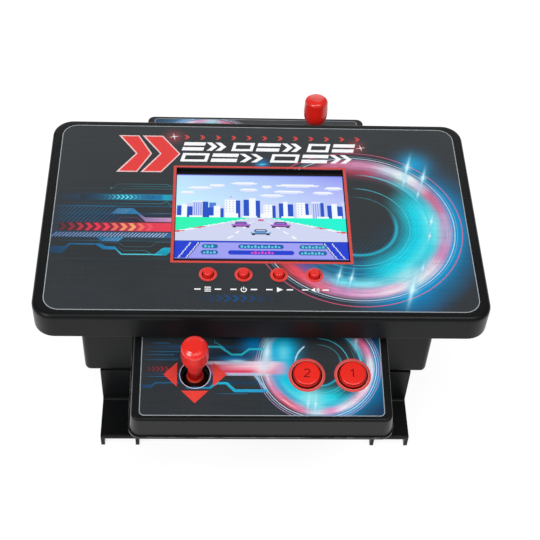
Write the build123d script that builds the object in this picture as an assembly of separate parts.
"""Two-player desktop arcade machine: a flat screen slab on two legs, with a tilted control deck
on the near side and its twin, turned half a turn, on the far side.

Millimetres, +Z up, origin on the floor under the middle of the machine, +X to the near player's
right. The near player sits towards -Y.
"""
from build123d import *
import math
import os

# ---------------------------------------------------------------- driving dimensions
# Slab that carries the screen
SLAB_WIDTH = 187.0
SLAB_DEPTH = 114.0
SLAB_TOP = 104.0
SLAB_BOTTOM = 91.0
SLAB_CORNER = 9.0
SLAB_EDGE = 2.0
WALL = 1.8
TOP_WALL = 1.5
SLAB_OVERLAY_WIDTH = 178.0
SLAB_OVERLAY_DEPTH = 107.0
SLAB_OVERLAY_CORNER = 6.8
OVERLAY_THICKNESS = 0.4
OVERLAY_GAP = 0.15
PLATE_BOTTOM = 91.4
PLATE_TOP = 93.4
SLAB_SCREWS = [(x, y) for x in (-84.0, 0.0, 84.0) for y in (-47.5, 47.5)]

# Screen: a 3.5 inch panel with a 73.44 by 48.96 lit area
OPENING_WIDTH = 74.0
OPENING_DEPTH = 54.3
PANEL_WIDTH = 85.5
PANEL_DEPTH = 55.0
PANEL_THICKNESS = 1.4
GASKET_THICKNESS = 0.3
BACKLIGHT_THICKNESS = 1.7
FRAME_WALL = 0.5

# Function buttons on the slab
KEY_PITCH = 14.7
KEY_ROW_X = -0.5
KEY_ROW_Y = -34.4
KEY_RADIUS = 2.15
KEY_HOLE_RADIUS = 2.5
KEY_TOP = 106.2
KEY_FLANGE_RADIUS = 3.8
KEY_STEM_RADIUS = 1.5
KEY_STEM_BOTTOM = 100.6
KEY_CAP_EDGE = 0.7
KEY_FLANGE_THICKNESS = 0.9
KEY_NAMES = ["select_button", "power_button", "start_button", "volume_button"]

# Main board under the screen
BOARD_TOP = 98.6
BOARD_THICKNESS = 1.6
BOARD_WIDTH = 100.0
BOARD_FRONT = -44.0
BOARD_BACK = 34.0
BOARD_SCREWS = [(-46.5, -40.0), (46.5, -40.0), (-46.5, 30.0), (46.5, 30.0)]
KEY_PAD_WIDTH = 55.0
KEY_PAD_DEPTH = 9.0
KEY_PAD_THICKNESS = 0.6
KEY_PAD_DOME_RADIUS = 1.9
CHIPS = [(-12.0, 2.0, -8.0, 6.0, 1.4), (10.0, 20.0, 0.0, 6.0, 1.2)]      # x0, x1, y0, y1, height
ROUND_CHIPS = [(4.5, -30.0, 10.0, 1.0), (2.5, 32.0, -12.0, 6.0)]         # radius, x, y, height
SCREEN_SOCKET = (-11.0, 11.0, 24.5, 29.8, 2.4)
DECK_SOCKETS = [(-6.0, 6.0, -26.0, -22.0, 3.4), (-6.0, 6.0, 18.0, 22.0, 3.4)]
BATTERY_SOCKET = (-24.0, -18.0, -14.0, -10.0, 3.6)
SPEAKER_SOCKET = (26.0, 32.0, 2.0, 6.0, 3.6)
SCREEN_RIBBON_WIDTH = 20.0
SCREEN_RIBBON_TOP = 101.4
SCREEN_RIBBON_BOTTOM = 95.6
DECK_RIBBON_WIDTH = 9.0
RIBBON_THICKNESS = 0.3
LEAD_RADIUS = 0.6
LEAD_SPACING = 2.0
LEAD_BEND = 4.0
LEAD_END_Z = 93.2

# Body block under the slab
BODY_WIDTH = 157.0
BODY_DEPTH = 62.0
BODY_BOTTOM = 30.0
BODY_CORNER = 2.6
BODY_LOWER_EDGE = 2.4
BODY_INNER_CORNER = 0.8
MOUNT_X = 35.0
MOUNT_Z = 78.0
RIBBON_SLOT = (-6.0, 6.0, 73.5, 77.5)                # x0, x1, z0, z1

# Legs: hollow mouldings with a foot that runs forwards and backwards
LEG_INNER_X = 54.0
LEG_OUTER_X = 71.7
LEG_WALL = 1.7
LEG_TOP_WALL = 2.5
LEG_POST_DEPTH = 62.0
FOOT_DEPTH = 104.0
FOOT_TOP = 7.5
FOOT_SKIN = 2.2
FOOT_EDGE = 0.8
FOOT_CORNER = 1.5
LEG_SCREW_Y = 20.0
LEG_BOSS_LENGTH = 8.0

# Battery bay in the floor of the body, for four AA cells side by side
CELL_RADIUS = 7.15
CELL_LENGTH = 48.6
CELL_NUB_RADIUS = 2.6
CELL_NUB_LENGTH = 1.4
CELL_PITCH = 15.0
CELL_EDGE = 0.6
BAY_X = -20.0
BAY_WIDTH = 61.6
BAY_DEPTH = 55.6
BAY_WALL = 1.2
BAY_ROOF = 48.2
DOOR_GAP = 0.2
DOOR_SCREW_X = 15.0
DOOR_EAR_RADIUS = 4.0
DOOR_BOSS_RADIUS = 3.0
DOOR_BOSS_HEIGHT = 6.0
DOOR_TAB_Y = 15.0
DOOR_TAB_HALF_WIDTH = 3.5
DOOR_TAB_THICKNESS = 1.0
DOOR_TAB_REACH = 3.0
DOOR_TAB_ROOM = 0.5
DOOR_SINK = 1.0
DOOR_GRIP_LINES = 5
DOOR_GRIP_PITCH = 2.0
DOOR_GRIP_DEPTH = 0.4
DOOR_GRIP_HALF_LENGTH = 8.0
CONTACT_SIZE = 9.0
CONTACT_HEIGHT = 10.0
CONTACT_THICKNESS = 0.4
CONTACT_BUTTON_RADIUS = 1.6

# Speaker beside the battery bay
SPEAKER_X = 35.0
SPEAKER_RADIUS = 14.0
SPEAKER_HEIGHT = 7.0
SPEAKER_RIM = 1.6
SPEAKER_WALL = 1.0
SPEAKER_MAGNET_RADIUS = 7.0
SPEAKER_MAGNET_HEIGHT = 2.4
SPEAKER_RING_HEIGHT = 3.0
SLOT_PITCH = 4.0
SLOT_WIDTH = 1.6
SLOT_LONGEST = 18.0
SLOT_STEP = 2.0
SLOTS_EACH_SIDE = 2

# Control deck, in its own tilted frame: u to the player's right, v away from the player,
# w up out of the deck. Its origin is the middle of the button row on the deck surface.
DECK_TILT = 8.8
DECK_ROW_Y = -68.4
DECK_ROW_Z = 80.71
DECK_HALF_WIDTH = 52.8
DECK_NEAR_V = -20.4
DECK_WALL = 1.6
DECK_SIDE = 13.0
DECK_DRAFT = 5.5
DECK_CORNER = 3.2
DECK_EDGE = 1.1
TRAY_THICKNESS = 2.0
TRAY_LIP = 0.6
DECK_OVERLAY_HALF_WIDTH = 49.7
DECK_OVERLAY_NEAR_V = -18.4
DECK_OVERLAY_FAR_V = 35.3
DECK_OVERLAY_CORNER = 2.0
DECK_OVERLAY_THICKNESS = 0.3
DECK_BOSS_PLACES = [(-47.0, -15.0), (47.0, -15.0), (-47.0, 30.0), (47.0, 30.0)]
DECK_BOSS_BORE = 5.0
TRAY_SCREW_SINK = 1.3
MOUNT_BOSS_LENGTH = 7.0
DECK_BOARD_TOP = -10.6
DECK_BOARD_THICKNESS = 1.2
DECK_BOARD_HALF_WIDTH = 46.5
DECK_BOARD_NEAR_V = -12.0
DECK_BOARD_FAR_V = 15.0
DECK_BOARD_POSTS = [(-44.0, 12.5), (-5.0, -9.8), (44.0, 12.5)]
DECK_SOCKET_V = 10.0
DECK_SOCKET_DEPTH = 4.0
DECK_SOCKET_HALF_WIDTH = 5.5
DECK_SOCKET_HEIGHT = 2.2
DECK_PAD_THICKNESS = 0.7
DECK_PAD_END_U = 43.0
DECK_PAD_HALF_DEPTH = 7.5
PAD_DOME_RADIUS = 1.5
PAD_DOME_REACH = 4.2
PAD_CONE_RADIUS = 3.2

# Deck push buttons
BUTTON_U = {"button_2": 18.4, "button_1": 37.3}
BUTTON_RADIUS = 5.75
BUTTON_HOLE_RADIUS = 6.35
BUTTON_TOP = 2.1
BUTTON_EDGE = 1.1
BUTTON_FLANGE_RADIUS = 7.2
BUTTON_STEM_RADIUS = 2.2
BUTTON_STEM_BOTTOM = -8.2
BUTTON_SKIRT = 0.6
BUTTON_FLANGE_THICKNESS = 1.0
MARK_DEPTH = 0.25
MARK_LINE = 0.5
MARK_POINTS = {1: [(-0.9, 0.9), (0.1, 1.7), (0.1, -1.7)],
               2: [(-1.1, 1.2), (-0.6, 1.7), (0.6, 1.7), (1.1, 1.1), (1.1, 0.4), (-1.1, -1.7),
                   (1.2, -1.7)]}

# Joystick
STICK_U = -27.4
STICK_HOLE_RADIUS = 6.1
PIVOT_W = -5.2
BALL_RADIUS = 4.8
SHAFT_RADIUS = 3.0
SHAFT_TOP = 18.4
COLLAR_W = -0.7
COLLAR_HEIGHT = 1.8
COLLAR_RADIUS = 3.6
COLLAR_TOP_RADIUS = 3.2
KNOB_BOTTOM = 11.8
KNOB_TOP = 25.3
KNOB_RADIUS = 5.6
KNOB_PROFILE = [(0.6, 0.0), (0.86, 0.13), (1.0, 0.5), (0.97, 0.75), (0.87, 0.925), (0.62, 0.99),
                (0.0, 1.0)]
DISC_RADIUS = 5.5
DISC_TOP = -7.8
DISC_BOTTOM = -8.6
PIVOT_PIN_RADIUS = 0.75
PIN_SHORTER = 0.6
RUNNING_GAP = 0.05
RING_INNER = 5.4
RING_OUTER = 7.2
RING_HALF_HEIGHT = 1.25
TRUNNION_RADIUS = 0.95
TRUNNION_SHORTER = 0.4
SOCKET_INNER = 8.2
SOCKET_OUTER = 10.2
SOCKET_TOP = -3.4
FLANGE_TOP = -6.0
FLANGE_BOTTOM = -7.2
FLANGE_SIZE = 25.0
FLANGE_CORNER = 2.4
FLANGE_SCREW = 10.3

# One size of self-tapping screw is used all over
SCREW_HEAD_RADIUS = 1.9
SCREW_HEAD_HEIGHT = 1.2
SCREW_HEAD_EDGE = 0.5
SCREW_DRIVE_WIDTH = 0.4
SCREW_DRIVE_REACH = 1.2
SCREW_DRIVE_DEPTH = 0.5
SCREW_RADIUS = 0.95
SCREW_LENGTH = 4.2
PILOT_RADIUS = 0.97
SCREW_CLEARANCE = 1.15
BOSS_RADIUS = 2.4
POST_RADIUS = 2.0
HEAD_ROOM = 0.3

CLEAR = 0.05          # gap between pieces that only rest on each other
THROUGH = 1.0         # how far a cutting tool runs past the face that it cuts


# ---------------------------------------------------------------- helpers
def block(x0, x1, y0, y1, z0, z1):
    """Box between two corners."""
    size = (x1 - x0, y1 - y0, z1 - z0)
    return Pos((x0 + x1) / 2, (y0 + y1) / 2, (z0 + z1) / 2) * Box(*size)


def rounded_block(width, depth, corner, z0, z1):
    """Box centred on Z, with rounded upright corners."""
    return Pos(0, 0, z0) * extrude(RectangleRounded(width, depth, corner), z1 - z0)


def rod(radius, x, y, z0, z1):
    """Upright cylinder between two heights."""
    return Pos(x, y, (z0 + z1) / 2) * Cylinder(radius, z1 - z0)


def back_rod(radius, x, z, y0, y1):
    """Level cylinder that runs from front to back."""
    return Pos(x, (y0 + y1) / 2, z) * Rot(90, 0, 0) * Cylinder(radius, y1 - y0)


def tube(outer, inner, x, y, z0, z1):
    """Upright tube between two heights."""
    return rod(outer, x, y, z0, z1) - rod(inner, x, y, z0 - THROUGH, z1 + THROUGH)


def screw():
    """Pan-head screw: the head stands below Z = 0 and the shank points up."""
    head = rod(SCREW_HEAD_RADIUS, 0, 0, -SCREW_HEAD_HEIGHT, 0)
    head = fillet(head.faces().sort_by(Axis.Z)[0].edges(), SCREW_HEAD_EDGE)
    half_slot = SCREW_DRIVE_WIDTH / 2
    drive = block(-half_slot, half_slot, -SCREW_DRIVE_REACH, SCREW_DRIVE_REACH,
                  -SCREW_HEAD_HEIGHT - THROUGH, -SCREW_HEAD_HEIGHT + SCREW_DRIVE_DEPTH)
    return head + rod(SCREW_RADIUS, 0, 0, 0, SCREW_LENGTH) - drive - Rot(0, 0, 90) * drive


def wire_leads(route, step):
    """Pair of insulated leads, side by side, along straight runs joined by arcs."""
    pair = []
    for index in range(2):
        points = [Vector(*point) + Vector(*step) * index for point in route]
        path = FilletPolyline(*points, radius=LEAD_BEND)
        section = Plane(origin=path @ 0, z_dir=path % 0) * Circle(LEAD_RADIUS)
        pair.append(sweep(section, path=path))
    return pair


def ribbon(points, width):
    """Flat flexible cable, a band of the given width that follows points in the YZ plane."""
    outline = trace(Polyline(*points), RIBBON_THICKNESS)
    return extrude(Plane.YZ * outline, width / 2, both=True)


nodes = {}


def keep(name, *solids):
    """Store the solids of one named sub-part."""
    loose = [solid for shape in solids for solid in shape.solids()]
    nodes[name] = loose[0] if len(loose) == 1 else Compound(children=loose)
    nodes[name].label = name


# ---------------------------------------------------------------- slab
KEY_X = [KEY_ROW_X + (index - 1.5) * KEY_PITCH for index in range(len(KEY_NAMES))]
UNDER_TOP = SLAB_TOP - TOP_WALL
PANEL_TOP = UNDER_TOP - GASKET_THICKNESS
PANEL_BOTTOM = PANEL_TOP - PANEL_THICKNESS
BACKLIGHT_BOTTOM = PANEL_BOTTOM - BACKLIGHT_THICKNESS


def screen_opening(z0, z1):
    """Rectangular opening over the screen."""
    return block(-OPENING_WIDTH / 2, OPENING_WIDTH / 2, -OPENING_DEPTH / 2, OPENING_DEPTH / 2,
                 z0, z1)


def key_holes(z0, z1):
    """Holes for the four function buttons."""
    return [rod(KEY_HOLE_RADIUS, x, KEY_ROW_Y, z0, z1) for x in KEY_X]


def make_top_cover():
    """Slab cover: top plate with a recess for the overlay, skirt all round and screw bosses."""
    shell = rounded_block(SLAB_WIDTH, SLAB_DEPTH, SLAB_CORNER, SLAB_BOTTOM, SLAB_TOP)
    shell = fillet(shell.faces().sort_by(Axis.Z)[-1].edges(), SLAB_EDGE)
    shell -= rounded_block(SLAB_WIDTH - 2 * WALL, SLAB_DEPTH - 2 * WALL, SLAB_CORNER - WALL,
                           SLAB_BOTTOM - THROUGH, UNDER_TOP)
    shell -= rounded_block(SLAB_OVERLAY_WIDTH + 2 * OVERLAY_GAP,
                           SLAB_OVERLAY_DEPTH + 2 * OVERLAY_GAP,
                           SLAB_OVERLAY_CORNER + OVERLAY_GAP,
                           SLAB_TOP - OVERLAY_THICKNESS, SLAB_TOP + THROUGH)
    shell -= screen_opening(UNDER_TOP - THROUGH, SLAB_TOP)
    for hole in key_holes(UNDER_TOP - THROUGH, SLAB_TOP):
        shell -= hole
    for x, y in SLAB_SCREWS:
        shell += tube(BOSS_RADIUS, PILOT_RADIUS, x, y, PLATE_TOP, UNDER_TOP)
    for x, y in BOARD_SCREWS:
        shell += tube(BOSS_RADIUS, PILOT_RADIUS, x, y, BOARD_TOP, UNDER_TOP)
    return shell


def make_top_overlay():
    """Printed sheet that fills the recess in the slab."""
    sheet = rounded_block(SLAB_OVERLAY_WIDTH, SLAB_OVERLAY_DEPTH, SLAB_OVERLAY_CORNER,
                          SLAB_TOP - OVERLAY_THICKNESS, SLAB_TOP)
    sheet -= screen_opening(SLAB_TOP - THROUGH, SLAB_TOP + THROUGH)
    for hole in key_holes(SLAB_TOP - THROUGH, SLAB_TOP + THROUGH):
        sheet -= hole
    return sheet


def make_screen():
    """Glass panel, its foam gasket, backlight and pressed frame, and its ribbon."""
    half_width = PANEL_WIDTH / 2
    half_depth = PANEL_DEPTH / 2
    gasket = block(-half_width, half_width, -half_depth, half_depth, PANEL_TOP, UNDER_TOP)
    gasket -= block(-OPENING_WIDTH / 2, OPENING_WIDTH / 2, -half_depth - THROUGH,
                    half_depth + THROUGH, PANEL_TOP - THROUGH, UNDER_TOP + THROUGH)
    keep("screen_gasket", gasket)
    keep("screen_panel", block(-half_width, half_width, -half_depth, half_depth,
                               PANEL_BOTTOM, PANEL_TOP))
    keep("screen_backlight", block(-half_width, half_width, -half_depth, half_depth,
                                   BACKLIGHT_BOTTOM, PANEL_BOTTOM))
    outer_width = half_width + CLEAR + FRAME_WALL
    outer_depth = half_depth + CLEAR + FRAME_WALL
    frame = block(-outer_width, outer_width, -outer_depth, outer_depth, BOARD_TOP, PANEL_TOP)
    frame -= block(-half_width - CLEAR, half_width + CLEAR, -half_depth - CLEAR,
                   half_depth + CLEAR, BACKLIGHT_BOTTOM, PANEL_TOP + THROUGH)
    keep("screen_frame", frame)
    bend_y = BOARD_BACK + 2.0
    route = [(outer_depth + 2 * CLEAR, SCREEN_RIBBON_TOP), (bend_y, SCREEN_RIBBON_TOP),
             (bend_y, SCREEN_RIBBON_BOTTOM), (SCREEN_SOCKET[3] + 4 * CLEAR, SCREEN_RIBBON_BOTTOM)]
    keep("screen_ribbon", ribbon(route, SCREEN_RIBBON_WIDTH))


def make_main_board():
    """Main circuit board with its chips and connectors, and the rubber pad of the keys."""
    board_bottom = BOARD_TOP - BOARD_THICKNESS
    board = block(-BOARD_WIDTH / 2, BOARD_WIDTH / 2, BOARD_FRONT, BOARD_BACK,
                  board_bottom, BOARD_TOP)
    for x, y in BOARD_SCREWS:
        board -= rod(SCREW_CLEARANCE, x, y, board_bottom - THROUGH, BOARD_TOP + THROUGH)
    keep("main_board", board)
    chips = [block(x0, x1, y0, y1, board_bottom - height, board_bottom)
             for x0, x1, y0, y1, height in CHIPS]
    chips += [rod(radius, x, y, board_bottom - height, board_bottom)
              for radius, x, y, height in ROUND_CHIPS]
    sockets = [block(x0, x1, y0, y1, board_bottom - height, board_bottom)
               for x0, x1, y0, y1, height in
               (SCREEN_SOCKET, *DECK_SOCKETS, BATTERY_SOCKET, SPEAKER_SOCKET)]
    keep("main_board_chips", *chips)
    keep("main_board_sockets", *sockets)
    pad_top = BOARD_TOP + KEY_PAD_THICKNESS
    half_depth = KEY_PAD_DEPTH / 2
    pad = block(-KEY_PAD_WIDTH / 2, KEY_PAD_WIDTH / 2, KEY_ROW_Y - half_depth,
                KEY_ROW_Y + half_depth, BOARD_TOP, pad_top)
    for x in KEY_X:
        pad += rod(KEY_PAD_DOME_RADIUS, x, KEY_ROW_Y, pad_top - CLEAR, KEY_STEM_BOTTOM)
    keep("function_pad", pad)
    keep("board_screws", *[Pos(x, y, board_bottom) * screw() for x, y in BOARD_SCREWS])


def make_key(x):
    """Function button: domed cap, retaining flange under the cover and a stem to the pad."""
    flange_top = UNDER_TOP - CLEAR
    cap = rod(KEY_RADIUS, x, KEY_ROW_Y, flange_top - CLEAR, KEY_TOP)
    cap = fillet(cap.faces().sort_by(Axis.Z)[-1].edges(), KEY_CAP_EDGE)
    flange = rod(KEY_FLANGE_RADIUS, x, KEY_ROW_Y, flange_top - KEY_FLANGE_THICKNESS, flange_top)
    stem = rod(KEY_STEM_RADIUS, x, KEY_ROW_Y, KEY_STEM_BOTTOM, flange_top)
    return cap + flange + stem


# ---------------------------------------------------------------- body and legs
BODY_FACE = BODY_DEPTH / 2
BODY_FLOOR = BODY_BOTTOM + WALL
LEG_MIDDLE_X = (LEG_INNER_X + LEG_OUTER_X) / 2
LEG_SCREWS = [(side * LEG_MIDDLE_X, y) for side in (-1, 1) for y in (-LEG_SCREW_Y, LEG_SCREW_Y)]


def make_body():
    """Body block, open at the top, with the slab's bottom plate as a flange round its rim."""
    outer = rounded_block(BODY_WIDTH, BODY_DEPTH, BODY_CORNER, BODY_BOTTOM, PLATE_TOP)
    outer = fillet(outer.faces().sort_by(Axis.Z)[0].edges(), BODY_LOWER_EDGE)
    plate_width = SLAB_WIDTH - 2 * WALL - 4 * CLEAR
    plate_depth = SLAB_DEPTH - 2 * WALL - 4 * CLEAR
    outer += rounded_block(plate_width, plate_depth, SLAB_CORNER - WALL, PLATE_BOTTOM, PLATE_TOP)
    body = outer - rounded_block(BODY_WIDTH - 2 * WALL, BODY_DEPTH - 2 * WALL,
                                 BODY_INNER_CORNER, BODY_FLOOR, PLATE_TOP + THROUGH)
    # Battery bay, open downwards
    half_width = BAY_WIDTH / 2
    half_depth = BAY_DEPTH / 2
    body += block(BAY_X - half_width - BAY_WALL, BAY_X + half_width + BAY_WALL,
                  -half_depth - BAY_WALL, half_depth + BAY_WALL, BODY_FLOOR, BAY_ROOF + BAY_WALL)
    boss_top = BODY_FLOOR + DOOR_BOSS_HEIGHT
    body += block(BAY_X + half_width, DOOR_SCREW_X, -DOOR_BOSS_RADIUS, DOOR_BOSS_RADIUS,
                  BODY_FLOOR, boss_top)
    body += rod(DOOR_BOSS_RADIUS, DOOR_SCREW_X, 0, BODY_FLOOR, boss_top)
    body -= block(BAY_X - half_width, BAY_X + half_width, -half_depth, half_depth,
                  BODY_BOTTOM - THROUGH, BAY_ROOF)
    body -= door_outline(0.0, BODY_BOTTOM - THROUGH, BODY_FLOOR)
    body -= rod(PILOT_RADIUS, DOOR_SCREW_X, 0, BODY_BOTTOM, boss_top - THROUGH)
    # Tab slots in the bay wall
    half_tab = DOOR_TAB_HALF_WIDTH + DOOR_TAB_ROOM
    for y in (-DOOR_TAB_Y, DOOR_TAB_Y):
        body -= block(BAY_X - half_width - BAY_WALL - THROUGH, BAY_X - half_width + THROUGH,
                      y - half_tab, y + half_tab, BODY_FLOOR,
                      BODY_FLOOR + DOOR_TAB_THICKNESS + DOOR_TAB_ROOM)
    # Speaker: locating ring and slots through the floor
    ring_inner = SPEAKER_RADIUS + 2 * CLEAR
    body += tube(ring_inner + BAY_WALL, ring_inner, SPEAKER_X, 0, BODY_FLOOR,
                 BODY_FLOOR + SPEAKER_RING_HEIGHT)
    for index in range(-SLOTS_EACH_SIDE, SLOTS_EACH_SIDE + 1):
        half_slot = SLOT_LONGEST / 2 - SLOT_STEP * abs(index)
        slot_x = SPEAKER_X + SLOT_PITCH * index
        body -= block(slot_x - SLOT_WIDTH / 2, slot_x + SLOT_WIDTH / 2, -half_slot, half_slot,
                      BODY_BOTTOM - THROUGH, BODY_FLOOR + CLEAR)
    # Fastener and ribbon holes
    for x, y in LEG_SCREWS:
        body -= rod(SCREW_CLEARANCE, x, y, BODY_BOTTOM - THROUGH, BODY_FLOOR + THROUGH)
    for x, y in SLAB_SCREWS:
        body -= rod(SCREW_CLEARANCE, x, y, PLATE_BOTTOM - THROUGH, PLATE_TOP + THROUGH)
    for x in (-MOUNT_X, MOUNT_X):
        body -= back_rod(SCREW_CLEARANCE, x, MOUNT_Z, -BODY_FACE - THROUGH, BODY_FACE + THROUGH)
    slot_x0, slot_x1, slot_z0, slot_z1 = RIBBON_SLOT
    body -= block(slot_x0, slot_x1, -BODY_FACE - THROUGH, BODY_FACE + THROUGH, slot_z0, slot_z1)
    return body


def door_outline(gap, z0, z1):
    """Plan shape of the battery door, with an ear for its screw."""
    half_width = BAY_WIDTH / 2 - gap
    half_depth = BAY_DEPTH / 2 - gap
    ear_radius = DOOR_EAR_RADIUS - gap
    plate = block(BAY_X - half_width, BAY_X + half_width, -half_depth, half_depth, z0, z1)
    ear = block(BAY_X + half_width - THROUGH, DOOR_SCREW_X, -ear_radius, ear_radius, z0, z1)
    return plate + ear + rod(ear_radius, DOOR_SCREW_X, 0, z0, z1)


def make_door():
    """Battery door: flush plate with grip lines, two tabs at one end and a screw ear."""
    top = BODY_FLOOR - DOOR_GAP / 2
    bottom = BODY_BOTTOM
    door = door_outline(DOOR_GAP, bottom, top)
    edge = BAY_X - BAY_WIDTH / 2
    tab_bottom = BODY_FLOOR + 2 * CLEAR
    tab_top = tab_bottom + DOOR_TAB_THICKNESS
    for y in (-DOOR_TAB_Y, DOOR_TAB_Y):
        y0 = y - DOOR_TAB_HALF_WIDTH
        y1 = y + DOOR_TAB_HALF_WIDTH
        door += block(edge + DOOR_GAP, edge + DOOR_TAB_REACH, y0, y1, top - CLEAR, tab_top)
        door += block(edge - DOOR_TAB_REACH, edge + DOOR_TAB_REACH, y0, y1, tab_bottom, tab_top)
    door -= rod(SCREW_CLEARANCE, DOOR_SCREW_X, 0, bottom - THROUGH, top + THROUGH)
    door -= rod(SCREW_HEAD_RADIUS + HEAD_ROOM, DOOR_SCREW_X, 0, bottom - THROUGH,
                bottom + DOOR_SINK)
    for index in range(DOOR_GRIP_LINES):
        x = BAY_X + BAY_WIDTH / 2 - DOOR_GRIP_PITCH * (index + 2)
        door -= block(x - DOOR_GRIP_DEPTH, x + DOOR_GRIP_DEPTH, -DOOR_GRIP_HALF_LENGTH,
                      DOOR_GRIP_HALF_LENGTH, bottom - THROUGH, bottom + DOOR_GRIP_DEPTH)
    return door


def make_cell():
    """AA cell along Z, with its nub at the upper end."""
    total = CELL_LENGTH + CELL_NUB_LENGTH
    cell = Pos(0, 0, -CELL_NUB_LENGTH / 2) * Cylinder(CELL_RADIUS, CELL_LENGTH)
    cell = fillet(cell.edges().filter_by(GeomType.CIRCLE), CELL_EDGE)
    return cell + rod(CELL_NUB_RADIUS, 0, 0, 0, total / 2)


def make_power():
    """Four AA cells with alternating ends, their contacts and the leads to the board."""
    cells = []
    contacts = []
    axis_z = BODY_FLOOR + CELL_RADIUS + DOOR_GRIP_DEPTH
    cell_end = (CELL_LENGTH + CELL_NUB_LENGTH) / 2 + 2 * CLEAR
    plate_end = BAY_DEPTH / 2 - 2 * CLEAR
    plate_start = plate_end - CONTACT_THICKNESS
    reach = plate_start - cell_end
    for index in range(4):
        x = BAY_X + (index - 1.5) * CELL_PITCH
        turn = 90 if index % 2 else -90
        cells.append(Pos(x, 0, axis_z) * Rot(turn, 0, 0) * make_cell())
        for end_turn in (0, 180):
            plate = block(-CONTACT_SIZE / 2, CONTACT_SIZE / 2, plate_start, plate_end,
                          -CONTACT_HEIGHT / 2, CONTACT_HEIGHT / 2)
            button = Pos(0, cell_end + reach / 2, 0) * Rot(90, 0, 0) * Cylinder(
                CONTACT_BUTTON_RADIUS, reach + CLEAR)
            contacts.append(Pos(x, 0, axis_z) * Rot(0, 0, end_turn) * (plate + button))
    keep("battery_cells", *cells)
    keep("battery_contacts", *contacts)
    x0, x1, y0, y1, height = BATTERY_SOCKET
    y = (y0 + y1) / 2 - LEAD_SPACING / 2
    start_x = BAY_X + BAY_WIDTH / 2 + BAY_WALL + LEAD_RADIUS + 2 * CLEAR
    route = [(start_x, y, 44.0), (start_x + 2.0, y, 58.0),
             ((x0 + x1) / 2, y, 74.0), ((x0 + x1) / 2, y, LEAD_END_Z)]
    keep("battery_leads", *wire_leads(route, (0, LEAD_SPACING, 0)))


def make_speaker():
    """Small loudspeaker that faces down through the floor slots, and its leads."""
    base = BODY_FLOOR + 2 * CLEAR
    top = base + SPEAKER_HEIGHT
    magnet_base = top - SPEAKER_MAGNET_HEIGHT
    cup_height = magnet_base - base - SPEAKER_RIM
    rim = rod(SPEAKER_RADIUS, SPEAKER_X, 0, base, base + SPEAKER_RIM)
    cup = Pos(SPEAKER_X, 0, base + SPEAKER_RIM + cup_height / 2) * Cone(
        SPEAKER_RADIUS - THROUGH, SPEAKER_MAGNET_RADIUS + THROUGH, cup_height)
    magnet = rod(SPEAKER_MAGNET_RADIUS, SPEAKER_X, 0, magnet_base, top)
    hollow_radius = SPEAKER_RADIUS - BAY_WALL
    rim_hollow_top = base + SPEAKER_RIM - 4 * CLEAR
    hollow = rod(hollow_radius, SPEAKER_X, 0, base - THROUGH, rim_hollow_top)
    hollow += Pos(SPEAKER_X, 0, rim_hollow_top + (cup_height - SPEAKER_WALL) / 2) * Cone(
        hollow_radius - SPEAKER_WALL, SPEAKER_MAGNET_RADIUS, cup_height - SPEAKER_WALL)
    keep("speaker_basket", rim + cup + magnet - hollow)
    cone_radius = hollow_radius - 2 * CLEAR
    cone = Pos(SPEAKER_X, 0, base + SPEAKER_RIM / 2) * Cone(
        cone_radius, SPEAKER_MAGNET_RADIUS, SPEAKER_RIM / 2)
    keep("speaker_cone", cone)
    x0, x1, y0, y1, height = SPEAKER_SOCKET
    y = (y0 + y1) / 2 - LEAD_SPACING / 2
    route = [(SPEAKER_X, y, top + 2 * CLEAR), (SPEAKER_X, y, 62.0),
             ((x0 + x1) / 2, y, 74.0), ((x0 + x1) / 2, y, LEAD_END_Z)]
    keep("speaker_leads", *wire_leads(route, (0, LEAD_SPACING, 0)))


def make_leg():
    """Left leg: hollow post and foot. The foot has no end walls, so its side walls show as pegs."""
    width = LEG_OUTER_X - LEG_INNER_X
    half_post = LEG_POST_DEPTH / 2
    half_foot = FOOT_DEPTH / 2
    side = Polyline((-half_foot, 0), (-half_foot, FOOT_TOP), (-half_post, FOOT_TOP),
                    (-half_post, BODY_BOTTOM), (half_post, BODY_BOTTOM), (half_post, FOOT_TOP),
                    (half_foot, FOOT_TOP), (half_foot, 0), close=True)
    leg = extrude(Plane.YZ * make_face(side), width / 2, both=True)
    inner_corners = [edge for edge in leg.edges().filter_by(Axis.X)
                     if abs(abs(edge.center().Y) - half_post) < CLEAR
                     and abs(edge.center().Z - FOOT_TOP) < CLEAR]
    leg = fillet(inner_corners, FOOT_CORNER)
    lips = [edge for edge in leg.edges().filter_by(Axis.X)
            if abs(abs(edge.center().Y) - half_foot) < CLEAR
            and abs(edge.center().Z - FOOT_TOP) < CLEAR]
    leg = fillet(lips, FOOT_EDGE)
    hollow_half = width / 2 - LEG_WALL
    leg -= block(-hollow_half, hollow_half, -half_foot - THROUGH, half_foot + THROUGH,
                 -THROUGH, FOOT_TOP - FOOT_SKIN)
    leg -= block(-hollow_half, hollow_half, -half_post + LEG_WALL, half_post - LEG_WALL,
                 0, BODY_BOTTOM - LEG_TOP_WALL)
    boss_bottom = BODY_BOTTOM - LEG_BOSS_LENGTH
    for y in (-LEG_SCREW_Y, LEG_SCREW_Y):
        leg += rod(BOSS_RADIUS, 0, y, boss_bottom, BODY_BOTTOM - LEG_TOP_WALL)
        leg -= rod(PILOT_RADIUS, 0, y, boss_bottom + THROUGH, BODY_BOTTOM + THROUGH)
    return Pos(-LEG_MIDDLE_X, 0, 0) * leg


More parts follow.
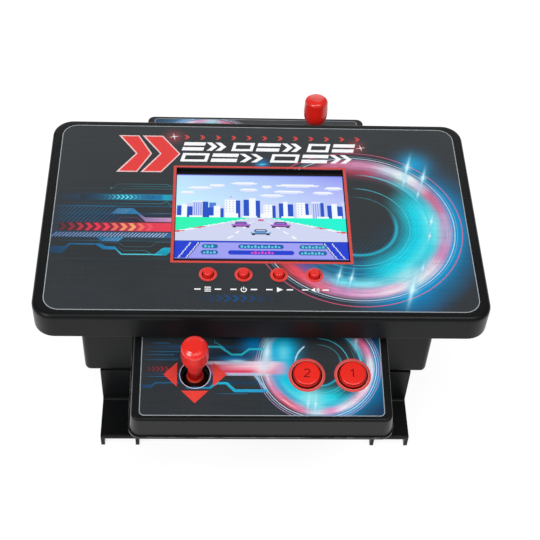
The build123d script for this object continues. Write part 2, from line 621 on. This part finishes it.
# ---------------------------------------------------------------- control deck
DECK_PLANE = Plane(origin=(0, DECK_ROW_Y, DECK_ROW_Z), x_dir=(1, 0, 0),
                   z_dir=(0, -math.sin(math.radians(DECK_TILT)),
                          math.cos(math.radians(DECK_TILT))))
DECK_REAR_V = 60.0          # runs into the body block, where it is cut off at the body's face
SIDE_FLARE = DECK_SIDE * math.tan(math.radians(DECK_DRAFT))
STICK_SCREWS = [(STICK_U + du, dv) for du in (-FLANGE_SCREW, FLANGE_SCREW)
                for dv in (-FLANGE_SCREW, FLANGE_SCREW)]


def deck_prism(half_width, near_v, corner, w0, w1, taper=0.0):
    """Upright-sided or tapering block in the deck frame, from the near edge to the body."""
    middle_v = (near_v + DECK_REAR_V) / 2
    outline = Pos(0, middle_v, w0) * RectangleRounded(2 * half_width, DECK_REAR_V - near_v, corner)
    return extrude(outline, w1 - w0, taper=taper)


def at_body_face(shape):
    """Place a deck-frame shape in the machine and cut it off at the body's near face."""
    behind = block(-SLAB_WIDTH, SLAB_WIDTH, -BODY_FACE, BODY_DEPTH, 0, 2 * SLAB_TOP)
    return DECK_PLANE * shape - behind


def make_deck_cover():
    """Deck cover: drafted shell with overlay recess, button and stick holes, bosses and posts."""
    shell = deck_prism(DECK_HALF_WIDTH + SIDE_FLARE, DECK_NEAR_V - SIDE_FLARE,
                       DECK_CORNER + SIDE_FLARE, -DECK_SIDE, 0, DECK_DRAFT)
    shell = fillet(shell.faces().sort_by(Axis.Z)[-1].edges(), DECK_EDGE)
    inner = deck_prism(DECK_HALF_WIDTH + SIDE_FLARE - DECK_WALL,
                       DECK_NEAR_V - SIDE_FLARE + DECK_WALL,
                       DECK_CORNER + SIDE_FLARE - DECK_WALL, -DECK_SIDE, -DECK_WALL, DECK_DRAFT)
    shell -= inner
    overlay_depth = DECK_OVERLAY_FAR_V - DECK_OVERLAY_NEAR_V
    shell -= Pos(0, (DECK_OVERLAY_FAR_V + DECK_OVERLAY_NEAR_V) / 2, 0) * rounded_block(
        2 * (DECK_OVERLAY_HALF_WIDTH + OVERLAY_GAP), overlay_depth + 2 * OVERLAY_GAP,
        DECK_OVERLAY_CORNER + OVERLAY_GAP, -DECK_OVERLAY_THICKNESS, THROUGH)
    for u in BUTTON_U.values():
        shell -= rod(BUTTON_HOLE_RADIUS, u, 0, -DECK_WALL - THROUGH, THROUGH)
    shell -= rod(STICK_HOLE_RADIUS, STICK_U, 0, -DECK_WALL - THROUGH, THROUGH)
    for u, v in DECK_BOSS_PLACES:
        shell += rod(BOSS_RADIUS, u, v, -DECK_SIDE, -DECK_WALL) & inner
        shell -= rod(PILOT_RADIUS, u, v, -DECK_SIDE - THROUGH, -DECK_SIDE + DECK_BOSS_BORE)
    for u, v in DECK_BOARD_POSTS:
        shell += tube(POST_RADIUS, PILOT_RADIUS, u, v, DECK_BOARD_TOP, -DECK_WALL)
    for u, v in STICK_SCREWS:
        shell += tube(POST_RADIUS, PILOT_RADIUS, u, v, FLANGE_TOP, -DECK_WALL)
    cover = at_body_face(shell)
    # Rear wall against the body, with screw bosses and a way through for the ribbon
    rear = block(-SLAB_WIDTH / 2, SLAB_WIDTH / 2, -BODY_FACE - DECK_WALL, -BODY_FACE,
                 BODY_BOTTOM, SLAB_TOP)
    boss_end = -BODY_FACE - MOUNT_BOSS_LENGTH
    for x in (-MOUNT_X, MOUNT_X):
        rear += back_rod(BOSS_RADIUS, x, MOUNT_Z, boss_end, -BODY_FACE)
    cover += rear & (DECK_PLANE * inner)
    slot_x0, slot_x1, slot_z0, slot_z1 = RIBBON_SLOT
    cover -= block(slot_x0, slot_x1, -BODY_FACE - DECK_WALL - THROUGH, -BODY_FACE,
                   slot_z0, slot_z1)
    for x in (-MOUNT_X, MOUNT_X):
        cover -= back_rod(PILOT_RADIUS, x, MOUNT_Z, boss_end + THROUGH, -BODY_FACE)
    return cover


def make_deck_overlay():
    """Printed sheet in the recess of the deck."""
    overlay_depth = DECK_OVERLAY_FAR_V - DECK_OVERLAY_NEAR_V
    sheet = Pos(0, (DECK_OVERLAY_FAR_V + DECK_OVERLAY_NEAR_V) / 2, 0) * rounded_block(
        2 * DECK_OVERLAY_HALF_WIDTH, overlay_depth, DECK_OVERLAY_CORNER,
        -DECK_OVERLAY_THICKNESS, 0)
    for u in BUTTON_U.values():
        sheet -= rod(BUTTON_HOLE_RADIUS, u, 0, -THROUGH, THROUGH)
    sheet -= rod(STICK_HOLE_RADIUS, STICK_U, 0, -THROUGH, THROUGH)
    return DECK_PLANE * sheet


def make_deck_tray():
    """Bottom tray of the deck, whose thin lip shows below the cover."""
    bottom = -DECK_SIDE - TRAY_THICKNESS
    tray = deck_prism(DECK_HALF_WIDTH + SIDE_FLARE + TRAY_LIP,
                      DECK_NEAR_V - SIDE_FLARE - TRAY_LIP,
                      DECK_CORNER + SIDE_FLARE + TRAY_LIP, bottom, -DECK_SIDE)
    tray = fillet(tray.faces().sort_by(Axis.Z)[0].edges(), TRAY_LIP)
    for u, v in DECK_BOSS_PLACES:
        tray -= rod(SCREW_CLEARANCE, u, v, bottom - THROUGH, -DECK_SIDE + THROUGH)
        tray -= rod(SCREW_HEAD_RADIUS + HEAD_ROOM, u, v, bottom - THROUGH,
                    bottom + TRAY_SCREW_SINK)
    return at_body_face(tray)


def make_deck_board():
    """Circuit board of the deck, with its socket, and the rubber pad on it."""
    bottom = DECK_BOARD_TOP - DECK_BOARD_THICKNESS
    board = block(-DECK_BOARD_HALF_WIDTH, DECK_BOARD_HALF_WIDTH, DECK_BOARD_NEAR_V,
                  DECK_BOARD_FAR_V, bottom, DECK_BOARD_TOP)
    for u, v in DECK_BOARD_POSTS:
        board -= rod(SCREW_CLEARANCE, u, v, bottom - THROUGH, DECK_BOARD_TOP + THROUGH)
    board += block(-DECK_SOCKET_HALF_WIDTH, DECK_SOCKET_HALF_WIDTH, DECK_SOCKET_V,
                   DECK_SOCKET_V + DECK_SOCKET_DEPTH, DECK_BOARD_TOP - CLEAR,
                   DECK_BOARD_TOP + DECK_SOCKET_HEIGHT)
    pad_top = DECK_BOARD_TOP + DECK_PAD_THICKNESS
    pad = block(STICK_U - DECK_PAD_HALF_DEPTH - PAD_DOME_RADIUS, DECK_PAD_END_U,
                -DECK_PAD_HALF_DEPTH, DECK_PAD_HALF_DEPTH, DECK_BOARD_TOP, pad_top)
    for step_u, step_v in ((1, 0), (0, 1), (-1, 0), (0, -1)):
        pad += rod(PAD_DOME_RADIUS, STICK_U + step_u * PAD_DOME_REACH, step_v * PAD_DOME_REACH,
                   pad_top - CLEAR, DISC_BOTTOM - 4 * CLEAR)
    for u in BUTTON_U.values():
        pad += Pos(u, 0, (pad_top + BUTTON_STEM_BOTTOM) / 2) * Cone(
            PAD_CONE_RADIUS, BUTTON_STEM_RADIUS, BUTTON_STEM_BOTTOM - pad_top)
    return DECK_PLANE * board, DECK_PLANE * pad


def number_mark(number):
    """Face of a plain engraved figure, one or two, drawn with strokes of even width."""
    return trace([Polyline(*MARK_POINTS[number])], MARK_LINE)


def make_button(name):
    """Deck push button: capped plunger with a retaining flange and an engraved figure."""
    cap = rod(BUTTON_RADIUS, 0, 0, -DECK_WALL - BUTTON_SKIRT, BUTTON_TOP)
    cap = fillet(cap.faces().sort_by(Axis.Z)[-1].edges(), BUTTON_EDGE)
    flange_top = -DECK_WALL - CLEAR
    cap += rod(BUTTON_FLANGE_RADIUS, 0, 0, flange_top - BUTTON_FLANGE_THICKNESS, flange_top)
    cap += rod(BUTTON_STEM_RADIUS, 0, 0, BUTTON_STEM_BOTTOM, flange_top)
    number = int(name[-1])
    cap -= Pos(0, 0, BUTTON_TOP - MARK_DEPTH) * extrude(number_mark(number), THROUGH)
    return DECK_PLANE * Pos(BUTTON_U[name], 0, 0) * cap


def make_stick():
    """Joystick: shaft with ball and actuator disc, knob, pivot pin, pivot ring and housing."""
    ball = Pos(0, 0, PIVOT_W) * Sphere(BALL_RADIUS)
    ball -= rod(2 * BALL_RADIUS, 0, 0, PIVOT_W - 2 * BALL_RADIUS, DISC_TOP)
    shaft = ball + rod(SHAFT_RADIUS, 0, 0, PIVOT_W, SHAFT_TOP)
    shaft += rod(DISC_RADIUS, 0, 0, DISC_BOTTOM, DISC_TOP)
    shaft += Pos(0, 0, COLLAR_W) * Cone(COLLAR_RADIUS, COLLAR_TOP_RADIUS, COLLAR_HEIGHT)
    pin_length = 2 * RING_OUTER - PIN_SHORTER
    along_v = Pos(0, 0, PIVOT_W) * Rot(90, 0, 0)
    shaft -= along_v * Cylinder(PIVOT_PIN_RADIUS, pin_length + 2)
    pin = along_v * Cylinder(PIVOT_PIN_RADIUS, pin_length)

    knob_height = KNOB_TOP - KNOB_BOTTOM
    points = [(KNOB_RADIUS * radius, knob_height * height) for radius, height in KNOB_PROFILE]
    profile = Spline(*points, tangents=[(1, 0.6), (-1, 0)])
    closing = Polyline(profile @ 1, (0, 0), profile @ 0)
    knob = revolve(Plane.XZ * make_face([*profile.edges(), *closing.edges()]), Axis.Z)
    knob = Pos(0, 0, KNOB_BOTTOM) * knob
    knob -= rod(SHAFT_RADIUS, 0, 0, KNOB_BOTTOM - THROUGH, SHAFT_TOP)

    ring = tube(RING_OUTER, RING_INNER, 0, 0, PIVOT_W - RING_HALF_HEIGHT,
                PIVOT_W + RING_HALF_HEIGHT)
    ring -= along_v * Cylinder(PIVOT_PIN_RADIUS + RUNNING_GAP, 3 * RING_OUTER)
    along_u = Pos(0, 0, PIVOT_W) * Rot(0, 90, 0)
    trunnions = along_u * Cylinder(TRUNNION_RADIUS, 2 * SOCKET_OUTER - TRUNNION_SHORTER)
    ring += trunnions - rod((RING_INNER + RING_OUTER) / 2, 0, 0, PIVOT_W - RING_HALF_HEIGHT,
                            PIVOT_W + RING_HALF_HEIGHT)

    housing = tube(SOCKET_OUTER, SOCKET_INNER, 0, 0, FLANGE_BOTTOM, SOCKET_TOP)
    housing += rounded_block(FLANGE_SIZE, FLANGE_SIZE, FLANGE_CORNER, FLANGE_BOTTOM, FLANGE_TOP)
    housing -= rod(SOCKET_INNER, 0, 0, FLANGE_BOTTOM - THROUGH, SOCKET_TOP)
    housing -= along_u * Cylinder(TRUNNION_RADIUS + RUNNING_GAP, 3 * SOCKET_OUTER)
    for u, v in STICK_SCREWS:
        housing -= rod(SCREW_CLEARANCE, u - STICK_U, v, FLANGE_BOTTOM - THROUGH,
                       FLANGE_TOP + THROUGH)
    place = DECK_PLANE * Pos(STICK_U, 0, 0)
    return {"stick_shaft": place * shaft, "stick_knob": place * knob, "stick_pin": place * pin,
            "stick_ring": place * ring, "stick_housing": place * housing}


def make_deck_screws():
    """Screws of one deck: tray, board and joystick housing."""
    tray_screw_w = -DECK_SIDE - TRAY_THICKNESS + TRAY_SCREW_SINK
    places = [(u, v, tray_screw_w) for u, v in DECK_BOSS_PLACES]
    places += [(u, v, DECK_BOARD_TOP - DECK_BOARD_THICKNESS) for u, v in DECK_BOARD_POSTS]
    places += [(u, v, FLANGE_BOTTOM) for u, v in STICK_SCREWS]
    return [DECK_PLANE * Pos(*place) * screw() for place in places]


def make_deck_ribbon():
    """Ribbon from the deck board, through the body wall and up to the main board."""
    start = (DECK_PLANE.location * Pos(0, DECK_SOCKET_V + DECK_SOCKET_DEPTH + 4 * CLEAR,
                                       DECK_BOARD_TOP + DECK_SOCKET_HEIGHT / 2)).position
    middle_z = (RIBBON_SLOT[2] + RIBBON_SLOT[3]) / 2
    rise_y = DECK_SOCKETS[0][2] + 2.0
    route = [(start.Y, start.Z), (-BODY_FACE - 13.0, middle_z), (rise_y, middle_z + 0.4),
             (rise_y, PLATE_TOP)]
    return ribbon(route, DECK_RIBBON_WIDTH)


def make_deck(prefix, turn):
    """All the pieces of one deck, turned about Z for the far player."""
    spin = Rot(0, 0, turn)
    keep(prefix + "deck_cover", spin * make_deck_cover())
    keep(prefix + "deck_overlay", spin * make_deck_overlay())
    keep(prefix + "deck_tray", spin * make_deck_tray())
    board, pad = make_deck_board()
    keep(prefix + "deck_board", spin * board)
    keep(prefix + "deck_pad", spin * pad)
    keep(prefix + "deck_ribbon", spin * make_deck_ribbon())
    keep(prefix + "deck_screws", *[spin * one for one in make_deck_screws()])
    for name in BUTTON_U:
        keep(prefix + name, spin * make_button(name))
    for name, shape in make_stick().items():
        keep(prefix + name, spin * shape)


# ---------------------------------------------------------------- assembly
keep("top_cover", make_top_cover())
keep("top_overlay", make_top_overlay())
make_screen()
make_main_board()
for key_name, key_x in zip(KEY_NAMES, KEY_X):
    keep(key_name, make_key(key_x))
keep("body_housing", make_body())
keep("battery_door", make_door())
keep("door_screw", Pos(DOOR_SCREW_X, 0, BODY_BOTTOM + DOOR_SINK) * screw())
make_power()
make_speaker()
left_leg = make_leg()
keep("leg_left", left_leg)
keep("leg_right", mirror(left_leg, about=Plane.YZ))
keep("slab_screws", *[Pos(x, y, PLATE_BOTTOM) * screw() for x, y in SLAB_SCREWS])
keep("leg_screws", *[Pos(x, y, BODY_FLOOR) * Rot(180, 0, 0) * screw() for x, y in LEG_SCREWS])
mount_screw = Pos(0, -BODY_FACE + WALL, MOUNT_Z) * Rot(90, 0, 0) * screw()
keep("mount_screws", *[Rot(0, 0, turn) * Pos(x, 0, 0) * mount_screw
                       for turn in (0, 180) for x in (-MOUNT_X, MOUNT_X)])
make_deck("near_", 0)
make_deck("far_", 180)

os.makedirs("parts", exist_ok=True)
for node_name, shape in nodes.items():
    export_step(shape, f"parts/{node_name}.step")
